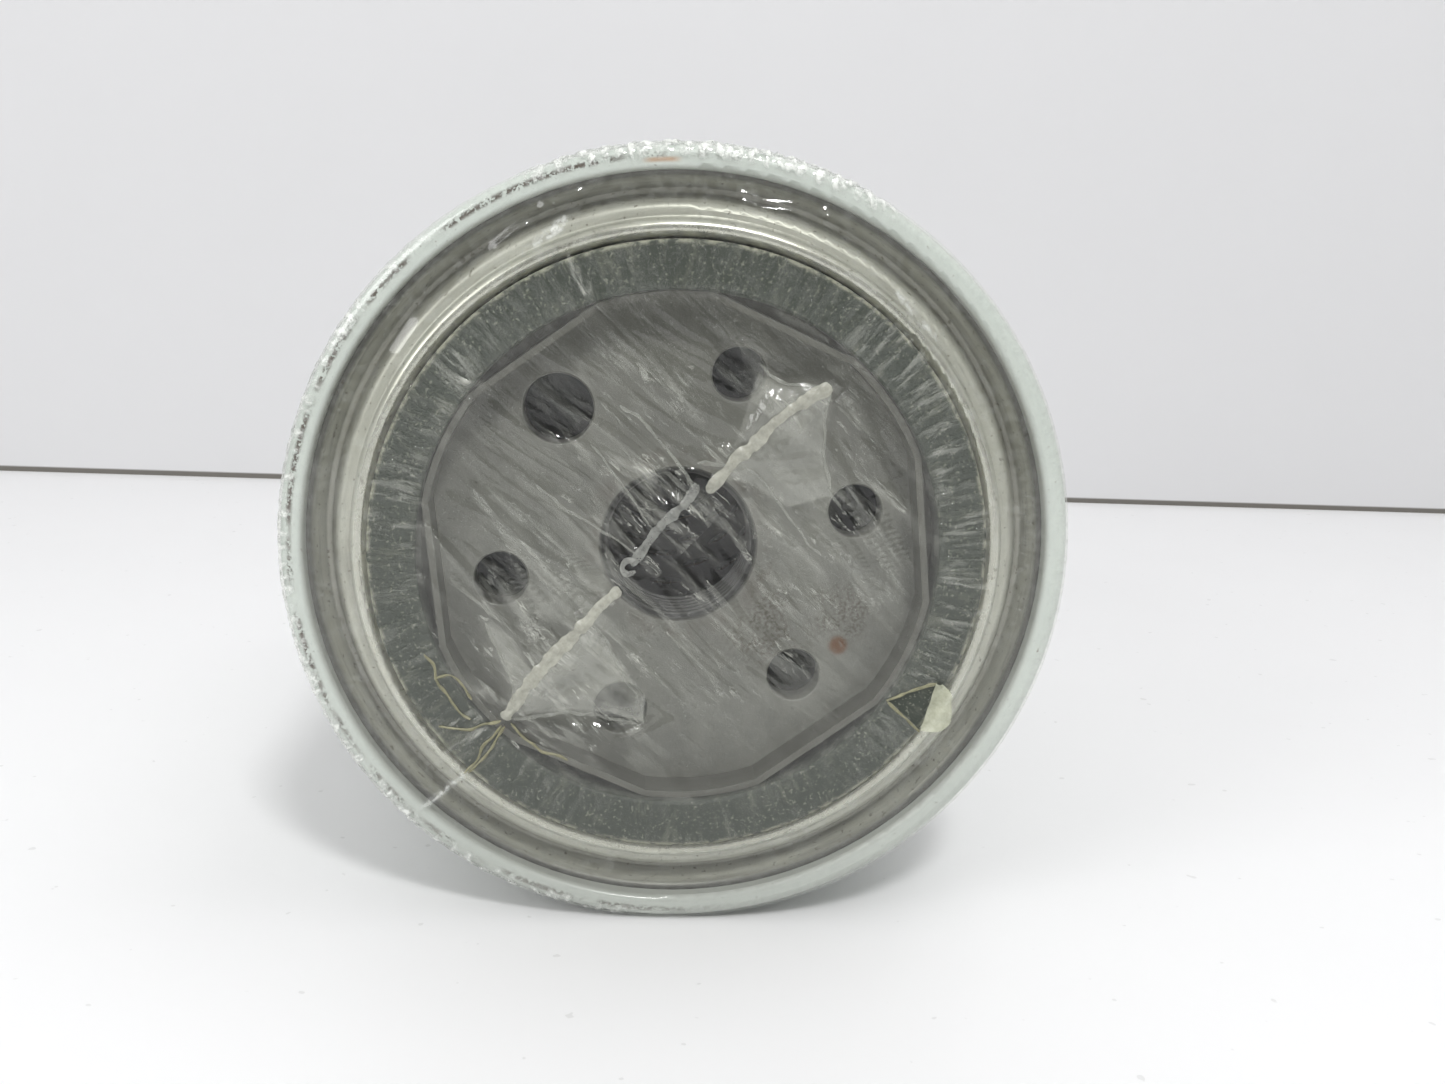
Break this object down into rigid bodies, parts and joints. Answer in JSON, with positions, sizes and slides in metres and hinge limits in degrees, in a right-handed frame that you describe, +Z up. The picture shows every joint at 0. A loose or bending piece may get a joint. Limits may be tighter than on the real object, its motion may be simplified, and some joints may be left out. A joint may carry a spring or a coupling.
{
  "type": "fuel filter",
  "caption": "Spin-on fuel filter: white can with a rolled seam, threaded plate, flat gasket, pleated element inside and a clear shrink film over the threaded end.",
  "frame": {"origin": "centre of the thread mouth, on the outer face of the tapping plate", "axes": "+Z up, with the can lying on its side; the can's axis runs along +Y towards the closed end, the threaded end looks along -Y, and +X is to the right when looking at the threaded end"},
  "size_m": [0.0944, 0.1323, 0.0944],
  "materials": {
    "white_paint": "gloss",
    "zinc_sheet": "dull",
    "plate_steel": "dull",
    "gasket_rubber": "matte",
    "grommet_rubber": "matte",
    "sealing_compound": "matte",
    "tinplate": "satin",
    "filter_paper": "matte",
    "potting_adhesive": "matte",
    "spring_steel": "satin",
    "clear_film": "gloss"
  },
  "bodies": {
    "filter_body": {"can": "white_paint", "lid": "zinc_sheet", "seam_sealant": "sealing_compound", "tapping_plate": "plate_steel", "gasket": "gasket_rubber"},
    "element": {"element_seal": "grommet_rubber", "upper_end_cap": "tinplate", "lower_end_cap": "tinplate", "upper_potting": "potting_adhesive", "lower_potting": "potting_adhesive", "center_tube": "tinplate", "pleated_media": "filter_paper", "media_clip": "tinplate", "support_spring": "spring_steel"},
    "film": {"shrink_film": "clear_film"}
  },
  "joints": [
    {"name": "film_lift", "type": "slide", "parent": "filter_body", "child": "film", "axis": [0, -1, 0], "range_m": [0, 0.13]},
    {"name": "element_float", "type": "slide", "parent": "filter_body", "child": "element", "axis": [0, 1, 0], "range_m": [0, 0.0025], "stiffness_N_per_m": 6000, "springref_m": -0.006, "deforming": ["support_spring"]}
  ]
}
